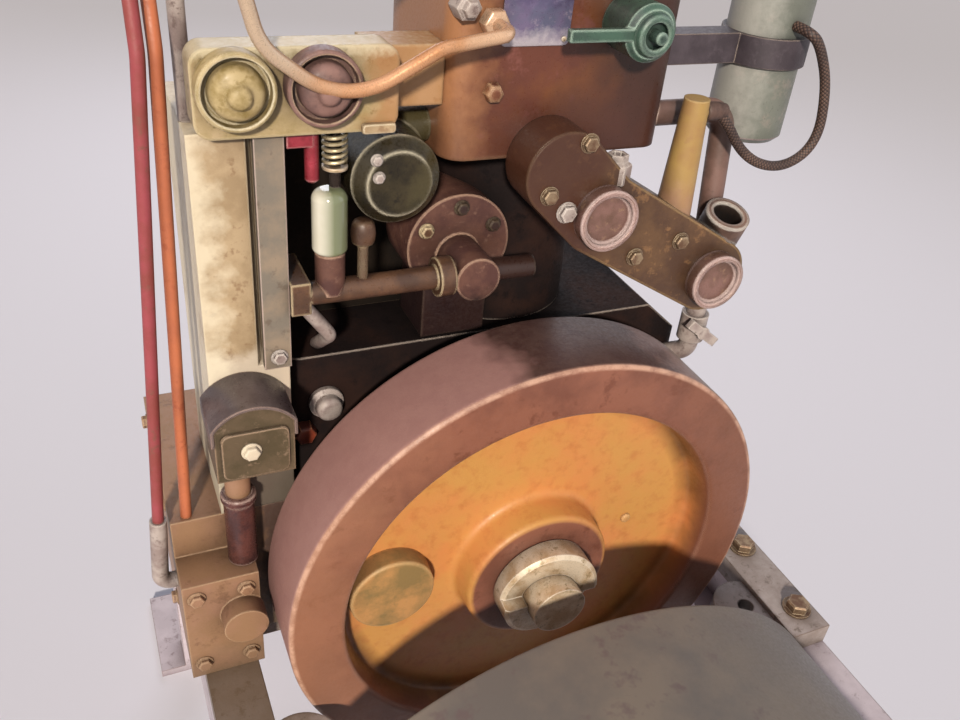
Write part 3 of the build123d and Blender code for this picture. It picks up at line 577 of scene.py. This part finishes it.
# Painted light at the left, painted shade at the right, then darker towards the bottom.
fade(jacket_paint, "X", -48, -84, "#b07e58", 0.75)
fade(jacket_paint, "X", -5, 75, "#35221c", 0.9)
fade(jacket_paint, "Z", 465, 410, "#4e2e26", 0.6, 30)
dress(jacket_paint, "water_jacket", "cylinder_head", "rocker_cover")
exhaust_rust = worn_paint("burnt_rusty_iron", "#6a4333", "#8a5a3a", "#4a342c", "#241814", rough=0.8,
                          blotch_mm=18, bump=0.5)
dress(exhaust_rust, "exhaust_elbow")
round_back = np.radians([8, 49, 90, 131, 172])
jacket_x, jacket_y, head_circle, head_top = 12, 215, 94, 662
head_bolts = [(jacket_x + head_circle * math.cos(a), jacket_y + head_circle * math.sin(a), head_top)
              for a in round_back]
head_bolts += [(x, 160, head_top) for x in (-82, 106)] + [(x, 108, head_top) for x in (-62, 12, 86)]
bolt_heads("head_bolts", head_bolts, (0, 0, 1), 12)
bolt_heads("exhaust_bolts", [(jacket_x + 36 * sx, 329, 540 + 20 * sz) for sx in (-1, 1) for sz in (-1, 1)],
           (0, 1, 0), 7)
union = rounded([(0, 84), (6, 84), (7, 90), (10, 91), (10.5, 107), (0, 107)], [0, 2, 1, 1, 0, 0])
turned("jacket_union", union, (-82, 0, 519), (0, 1, 0), pale_iron, steps=6, sharp=25)
jacket_plug = rounded([(0, 92), (7, 92), (8.5, 101.5), (0, 101.5)], [0, 2, 0, 0])
turned("jacket_plug", jacket_plug, (-54, 0, 455), (0, 1, 0), jacket_paint, steps=6, sharp=25)

# Label plate: a blank piece of tinned sheet, gone lavender-grey. Four rivets hold it on the
# jacket's front.
label_tin = worn_paint("dull_tin_sheet", "#776c8c", "#646680", "#d8d0d8", "#4a4658", rough=0.35, metal=0.3,
                       blotch_mm=24, edge_mm=0.8, spots="#a094a8")
fade(label_tin, "Z", 503, 491, "#d2cad0", 0.8, 6)
fade(label_tin, "Z", 514, 530, "#3f3358", 0.8, 6)


def plate(name, centre, size, radius, depth, finish):
    """A rounded flat plate whose back sits at the centre's Y and whose face looks to the front:
    the outline at the back, the same in front, and one smaller by a roll of 0.8 mm, closed by the
    centre at both ends."""
    half = np.array(size) / 2
    corners = [(-half[0], -half[1]), (half[0], -half[1]), (half[0], half[1]), (-half[0], half[1])]
    edge = rounded(corners, radius, steps=5, closed=True)
    inner = edge * (1 - 0.8 / half)
    rows = [(edge * 0, 0.0), (edge, 0.0), (edge, -depth * 0.6), (inner, -depth), (edge * 0, -depth)]
    points = np.stack([np.stack([row[:, 0], 0 * row[:, 0] + y, row[:, 1]], -1) for row, y in rows])
    return grid_piece(name, points + np.array(centre), finish)


label_x, label_z = -22, 510
plate("label_plate", (label_x, 100, label_z), (58, 42), 5, 1.4, label_tin)
rivet_sides = 10
rivet = rounded([(0, 0), (2.4, 0), (2.2, 1.4), (0, 1.6)], [0, 1, 1, 0], 2)
rivet_dots = turned_points(rivet, (0, 0, 0), (0, -1, 0), rivet_sides).reshape(-1, 3)
many("label_rivets", rivet_dots, grid_faces(len(rivet), rivet_sides),
     [(label_x + sx * 24, 98.6, label_z + sz * 16) for sx in (-1, 1) for sz in (-1, 1)], oiled_steel)

# Gear case and column: tan and cream castings at the left that close in the timing gears and
# the push rods. A dark groove and a grey cover strip run down the column. The column's left side is
# painted lighter as painted light, and its foot under the magneto is dark from old oil and painted
# shade. The case is darker at its foot and beside the crankcase.
tan_paint = worn_paint("worn_tan_case_enamel", "#977558", "#a27c64", "#c8a888", "#3c2a1e", blotch_mm=60,
                       spots="#7a5a44", wear=0.7)
cream_paint = worn_paint("mottled_cream_enamel", "#bda685", "#a68f6f", "#f2e6c8", "#4c3826", rough=0.45,
                         blotch_mm=34, wear=0.8, spots="#8f7152")
fade(cream_paint, "Z", 262, 236, "#e8dcca", 0.6)
# Old oil and painted shade darken the column under the magneto.
fade(cream_paint, "Z", 176, 152, "#2c2019", 0.85, 10)
# Painted light: the column's left side is lighter.
fade(cream_paint, "X", -262, -284, "#f0e6cc", 0.65)
fade(tan_paint, "X", -258, -246, "#3c2e2c", 0.8, 8)
fade(tan_paint, "Z", -40, -85, "#6e5c48", 0.6, 30)
strip_paint = worn_paint("grey_strip_steel", "#7f776c", "#968674", "#ecd4cc", "#332c28", edge_mm=1.8,
                         wear=1.0, spots="#6a5c50")
dress(tan_paint, "gear_case")
dress(cream_paint, "side_column")
dress(strip_paint, "cover_strip")
bolt_heads("gear_case_bolts", [(x, 60, z) for x in (-318, -274) for z in (-66, 22)], (0, -1, 0), 7,
           finish=tan_paint)
bolt_heads("gear_case_side_bolts", [(-330, y, z) for y in (150, 280) for z in (-66, 62)], (-1, 0, 0), 7,
           finish=tan_paint)
bolt_heads("strip_foot_bolt", [(-228, 92, 246)], (0, -1, 0), 6, finish=pale_iron)

# Magneto: a cast body under a low rolled cap. A dark red-brown sleeve with a rubbed collar sits
# on the round stub that carries it, and one bolt holds its front plate.
magneto_paint = worn_paint("olive_tan_magneto_enamel", "#62523e", "#50442f", "#bfa288", "#241c12",
                           blotch_mm=26, wear=0.8, spots="#8a7460")
cap_paint = worn_paint("dark_mauve_cap_enamel", "#665a5a", "#524646", "#b89c90", "#241d20", rough=0.35,
                       blotch_mm=30, wear=0.8)
dress(magneto_paint, "magneto")
sleeve_paint = worn_paint("dark_red_brown_sleeve_enamel", "#5e3833", "#462b2b", "#f0d4c8", "#1c0f0e",
                          rough=0.28, blotch_mm=16, edge_mm=3.0, wear=1.0)
sleeve = rounded([(10.8, 38.5), (13.5, 38.5), (13.5, 108), (15.5, 110), (15.5, 117), (10.8, 118)],
                 [0, 0, 1, 1, 2, 0])
turned("magneto_sleeve", sleeve, (-271, 84, 0), (0, 0, 1), sleeve_paint, ring=True)
plate("magneto_front_plate", (-259, 50, 186), (55, 46), 8, 3, magneto_paint)
bolt_heads("magneto_bolt", [(-263, 47, 190)], (0, -1, 0), 7, finish=cream_paint)


def arched_cap(steps=32):
    """A strip bent over the magneto: its section follows the arch from one shoulder to the other,
    2.5 mm proud, and it is as long as the body."""
    half, rise, shoulder, middle_x, thick, lap = 32.0, 17.0, 212.0, -259.0, 2.5, 14
    radius = (rise ** 2 + half ** 2) / (2 * rise)
    reach = math.asin(half / radius)
    angle = np.linspace(-reach, reach, steps)
    middle_z = shoulder + rise - radius
    line = np.stack([radius * np.sin(angle), middle_z + radius * np.cos(angle)], -1)
    line = np.concatenate([[[-half, shoulder - lap]], line, [[half, shoulder - lap]]])
    away = line - np.array([0, shoulder - 12.0])
    out = line + thick * away / np.linalg.norm(away, axis=1, keepdims=True)
    loop = np.concatenate([out, line[::-1] * [0.999, 1]])
    return np.stack([np.stack([loop[:, 0] + middle_x, 0 * loop[:, 0] + y, loop[:, 1]], -1)
                     for y in (48.5, 49.5, 99.5)])


cap_points = arched_cap()
rows, columns = cap_points.shape[:2]
cap_ends = [[i, i + 1, columns - 2 - i, columns - 1 - i] for i in range(columns // 2 - 1)]
cap_ends += [[(rows - 1) * columns + i for i in reversed(face)] for face in cap_ends]
grid_piece("magneto_cap", cap_points, cap_paint, more=cap_ends)

# Rocker bracket: a painted casting from the column to the jacket, with the domed ends of two
# pivots, a coil spring under it and a crimson rod. Its top edge is painted lighter as a painted
# highlight.
bracket_paint = worn_paint("olive_yellow_enamel", "#c6b08a", "#ab9768", "#ecdcb4", "#33280f", blotch_mm=30,
                           edge_mm=3.4, wear=1.0, spots="#746436")
fade(bracket_paint, "X", -165, -140, "#aa7a50", 0.75)
# Painted highlight: a pale band along the bracket's top.
fade(bracket_paint, "Z", 488, 495, "#ddd4b8", 0.6, 3)
cream_boss = worn_paint("cream_olive_boss_enamel", "#bca87c", "#94804e", "#f4ecd0", "#1e170a", blotch_mm=16,
                        edge_mm=2.4, wear=0.8, grime_and_shade_share=0.5)
mauve_boss = worn_paint("mauve_boss_enamel", "#8f6e66", "#6e5450", "#d8c0a0", "#1a1210", blotch_mm=18,
                        edge_mm=1.6, wear=0.6, grime_and_shade_share=0.6)
dress(bracket_paint, "rocker_bracket")
pivot_z = 471
boss = rounded([(0, 58), (7, 59), (9, 65), (16, 67), (19, 72), (19.5, 80), (23, 80), (23.5, 71), (27, 72),
                (27, 86.2), (0, 86.2)], [0, 3, 2, 4, 2, 1, 1, 1.5, 2, 0, 0], 3)
left_pivot = turned("left_pivot", boss, (-252, 0, pivot_z), (0, 1, 0), cream_boss)
right_pivot = turned("right_pivot", boss, (-192, 0, pivot_z), (0, 1, 0), mauve_boss)
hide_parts("rocker_pivots")
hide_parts("rocker_pivots")
plate("bracket_pad", (-150, 86, 437.5), (26, 8), 3, 4, cream_paint)

spring_steel = worn_paint("cream_spring_wire", "#d3c4a0", "#a59572", "#efe6cc", "#4a4028", rough=0.35,
                          metal=0.45, blotch_mm=9, edge_mm=0.4, pit_mm=1.0)
spring_x, spring_y, spring_bottom, spring_rise = -179, 99, 407, 26
spring_turns, coil_radius, wire_radius, wire_sides = 5.5, 8.4, 1.6, 8
turn = np.linspace(0, spring_turns * 2 * math.pi, 165)
spring_line = np.stack([spring_x + coil_radius * np.cos(turn), spring_y + coil_radius * np.sin(turn),
                        spring_bottom + spring_rise * turn / turn[-1]], -1)
spring = grid_piece("valve_spring_coil", tube_points(spring_line, wire_radius, wire_sides), spring_steel)
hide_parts("valve_spring")
seat = rounded([(0, 403), (10, 403), (10, 406), (0, 406)], [0, 1, 1, 0])
turned("spring_seat", seat, (spring_x, spring_y, 0), (0, 0, 1), oiled_steel, steps=28)
turned("spring_stem", [(0, 388), (4.5, 388), (4.5, 434.8), (0, 434.8)], (spring_x, spring_y, 0), (0, 0, 1),
       dark_iron_and_shade, steps=16)
crimson = worn_paint("worn_crimson_enamel", "#b03c4c", "#8c2834", "#e8a8a8", "#3a0e14", rough=0.35,
                     blotch_mm=18)
dress(crimson, "red_rod")

# Mixer and governor: dark oily castings between the column and the jacket. The mixer's pale rim
# edges are partly wear and partly painted highlight; the governor's lower part and the control
# shaft's right end are darkened as painted shade. The sight glass beside them stands on an iron
# foot; it is painted pale at its left as a painted glint and green-grey at its right.
# Painted highlight with wear: the mixer's wide pale rim edges.
mixer_iron = worn_paint("dark_oily_mixer_iron", "#272216", "#3a3322", "#e4dcc4", "#0a0805", rough=0.3,
                        blotch_mm=26, edge_mm=4.4, wear=0.75, gloss=0.35, spots="#1a1610")
fade(mixer_iron, "X", -128, -108, "#4e472f", 0.7)
governor_iron = worn_paint("bare_brown_iron", "#6a4a40", "#543834", "#d8b49c", "#140b0a", rough=0.45,
                           blotch_mm=30, edge_mm=3.4, wear=0.9, gloss=0.35, spots="#7f6054")
# Painted shade: the governor's lower part, under the control shaft.
fade(governor_iron, "Z", 296, 276, "#1e1315", 0.9, 8)
bar_iron = worn_paint("tan_worn_bar_iron", "#664a38", "#4a352a", "#f0dcb4", "#1a0f0c", rough=0.35,
                      blotch_mm=24, edge_mm=3.0, wear=1.0, spots="#4c352c")
# Painted shade: the control shaft's right end.
fade(bar_iron, "X", -78, -60, "#2c1c1a", 0.9, 6)
dress(mixer_iron, "mixer")
dress(governor_iron, "governor_housing", "glass_base")
dress(bar_iron, "control_shaft")
bolt_heads("mixer_screws", [(-151, 84, 413), (-149, 84, 399)], (0, -1, 0), 4, finish=pale_iron)
governor_x, governor_z, governor_circle = -58, 309, 36
bolt_heads("governor_bolts", [(governor_x + governor_circle * math.cos(a), 130,
                               governor_z + governor_circle * math.sin(a)) for a in (0.5, 1.57, 2.64)],
           (0, -1, 0), 6, finish=bar_iron)
knob = rounded([(0, 306), (4.5, 306), (4.5, 339), (9, 340), (10.5, 350), (8, 360), (0, 361)],
               [0, 1, 2, 3, 6, 4, 0])
turned("control_knob", knob, (-157, 96, 0), (0, 0, 1), bar_iron, steps=32)

glass, tree, shader = bare_finish("glass_with_painted_glint")
place = add(tree, "ShaderNodeTexCoord").outputs["Object"]
across = add(tree, "ShaderNodeSeparateXYZ", None, {"Vector": place}).outputs["X"]
painted_glint_coat = coat_mix(tree, mottle(tree, place, 60.0, 2.0), "#e6e4d8", "#cfcbb4")
# Painted glint: pale at the glass's left, green-grey at its right.
painted_glint_coat = coat_mix(tree, graded(tree, across, -0.195, -0.184), painted_glint_coat, "#7a8264")
tree.links.new(painted_glint_coat, shader.inputs["Base Color"])
shader.inputs["Roughness"].default_value = 0.1
shader.inputs["Coat Weight"].default_value = 0.6
dress(glass, "sight_glass")
dress(pale_iron, "governor_link", "drain_pipe", "drain_cock", "pale_pipe", "pipe_union")

# Water manifold: a sloping iron casting with two round plugs, whose pale rims are painted highlights
# over some wear, and it is darker at its left end as painted shade. A tapered tube, a return pipe,
# an open socket and a drain are screwed into it; the socket's pale rim is a painted highlight and
# its dark mouth painted shade.
manifold_paint = worn_paint("olive_brown_enamel", "#4e3626", "#634830", "#c0a070", "#1a100a", rough=0.42,
                            blotch_mm=40, edge_mm=4.0, wear=0.7, spots="#8a6644")
# Painted shade: the manifold's left end is darker.
fade(manifold_paint, "X", 60, 20, "#47291d", 0.85)
# Painted highlights with wear: the plugs' pale rims.
plug_paint = worn_paint("pink_grey_plug_painted_highlight", "#86645c", "#6c5044", "#ffe6e2", "#22140f", rough=0.3,
                        blotch_mm=24, edge_mm=4.6, wear=1.0, spots="#a08068")
tube_paint = worn_paint("yellow_tan_enamel", "#a98a52", "#a07c50", "#e6cc96", "#4a3418", blotch_mm=40)
fade(tube_paint, "Z", 390, 325, "#b08a78", 0.85)
mauve_paint = worn_paint("mauve_brown_enamel", "#7c6058", "#665048", "#b09a90", "#2a1c18", blotch_mm=30)
dress(manifold_paint, "water_manifold")
dress(plug_paint, "manifold_plugs")
dress(tube_paint, "plug_tube")
dress(mauve_paint, "return_pipe")
# Painted highlight on the socket's rim and painted shade in its mouth.
socket_paint = worn_paint("socket_iron_highlight_and_shade", "#7c6052", "#54403a", "#f6f0e8", "#0c0807", edge_mm=4.6,
                          wear=1.0, grime_and_shade_share=1.0)
dress(socket_paint, "outlet_socket")
bolt_heads("manifold_bolts", [(-14, 60, 382), (16, 60, 424), (80, 60, 316), (126, 60, 326)], (0, -1, 0), 7)
bolt_heads("bright_manifold_bolt", [(4, 60, 366)], (0, -1, 0), 8, finish=pale_iron)
vent_plug = rounded([(0, 385), (13, 385), (13, 401), (9, 403), (9, 409), (5.5, 409), (5, 402), (0, 402)],
                    [0, 0, 2, 1, 1, 1, 0, 0], 2)
turned("vent_plug", vent_plug, (52, 71, 0), (0, 0, 1), pale_iron, steps=6, sharp=25)

# Ignition: a grey-green sheet steel coil can in a clamp band, painted lighter on its left side as
# painted light. The green gas valve on the jacket has a raised ring, a spindle and a flat lever.
coil_paint = worn_paint("grey_green_coil_enamel", "#747870", "#686c64", "#b48a94", "#242826", rough=0.38,
                        blotch_mm=60, edge_mm=2.4, spots="#8a847c")
# Painted light: the coil can's left side is lighter.
fade(coil_paint, "X", 224, 198, "#cccac4", 0.5, 6)
band_paint = worn_paint("dark_band_steel", "#3c343a", "#4e454c", "#a8988c", "#1c181c", edge_mm=1.6)
dress(coil_paint, "ignition_coil")
dress(band_paint, "coil_band")
coil_top = rounded([(0, 562.5), (33, 562.5), (33, 569), (14, 572), (12, 584), (0, 586)], [0, 2, 2, 2, 3, 0])
turned("coil_top", coil_top, (232, 138, 0), (0, 0, 1), dark_iron_and_shade)
boot_rubber = worn_paint("brown_rubber_boot", "#5a443c", "#46342e", "#9a8070", "#1e1412", rough=0.6,
                         blotch_mm=12)
boot = rounded([(0, 137), (8.5, 137), (7.5, 152), (5.5, 160), (0, 160)], [0, 3, 3, 1, 0])
turned("lead_boot", boot, (0, 81, 436), (1, 0, 0), boot_rubber, steps=24)
valve_paint = worn_paint("worn_green_enamel", "#436052", "#354540", "#b8d4c4", "#101816", rough=0.35,
                         blotch_mm=30, edge_mm=3.0, wear=0.9)
dress(valve_paint, "gas_valve")
valve_place = (57, 0, 506)
raised_ring = rounded([(10, 60.2), (10, 54), (15, 54), (17, 60.2)], [0, 2, 2, 0])
turned("valve_ring", raised_ring, valve_place, (0, 1, 0), valve_paint, steps=40, ring=True)
spindle = rounded([(0, 47), (5, 47), (5, 60.5), (0, 60.5)], [0, 2, 0, 0])
turned("valve_spindle", spindle, valve_place, (0, 1, 0), valve_paint, steps=20)

# Pipes: soft copper tube that has dulled, which ends in a six-sided nut on the jacket, and two
# steel tubes at the left, painted red and orange.
copper = worn_paint("dull_copper_tube", "#d4a078", "#bc8050", "#f6e0c8", "#4a2a18", rough=0.3, metal=0.35,
                    blotch_mm=90, edge_mm=0.5, pit_mm=2.5, bump=0.05, spots="#c88e5c")
fade(copper, "X", -175, -225, "#c9b8a2", 0.8, 30)
fade(copper, "X", -140, -95, "#e0c4a8", 0.6, 30)
dress(copper, "copper_pipe")
red_paint = worn_paint("worn_red_pipe_enamel", "#9f4850", "#8c423e", "#e0a090", "#3a1616", blotch_mm=40,
                       spots="#7c5044")
orange_paint = worn_paint("worn_orange_pipe_enamel", "#c8744e", "#b86a4a", "#f4b890", "#5a2a1a",
                          blotch_mm=40, spots="#a8583c")
dress(red_paint, "red_pipe")
dress(orange_paint, "orange_pipe")
end_nut = rounded([(5.2, 99.8), (11, 99.8), (11, 88), (5.2, 86)], [0, 2, 2, 0])
turned("copper_end_nut", end_nut, (-60, 0, 508), (0, 1, 0), copper, steps=6, ring=True, sharp=25)

# Tank: rolled sheet steel with a round top, pressed ends and a filler, in smooth grey paint
# that has faded to beige where it is rubbed, and is painted lighter and beige towards the right as
# a painted highlight.
tank_paint = worn_paint("faded_grey_tank_enamel", "#706a66", "#83796f", "#8c8478", "#2c2826", rough=0.45,
                        blotch_mm=130, edge_mm=3.0, wear=0.5, bump=0.08, spots="#6c5c5c")
# Painted highlight: lighter and beige towards the right.
fade(tank_paint, "X", 60, 130, "#84786c", 0.5, 40)
dress(tank_paint, "front_tank")

scene.view_settings.view_transform = "Standard"
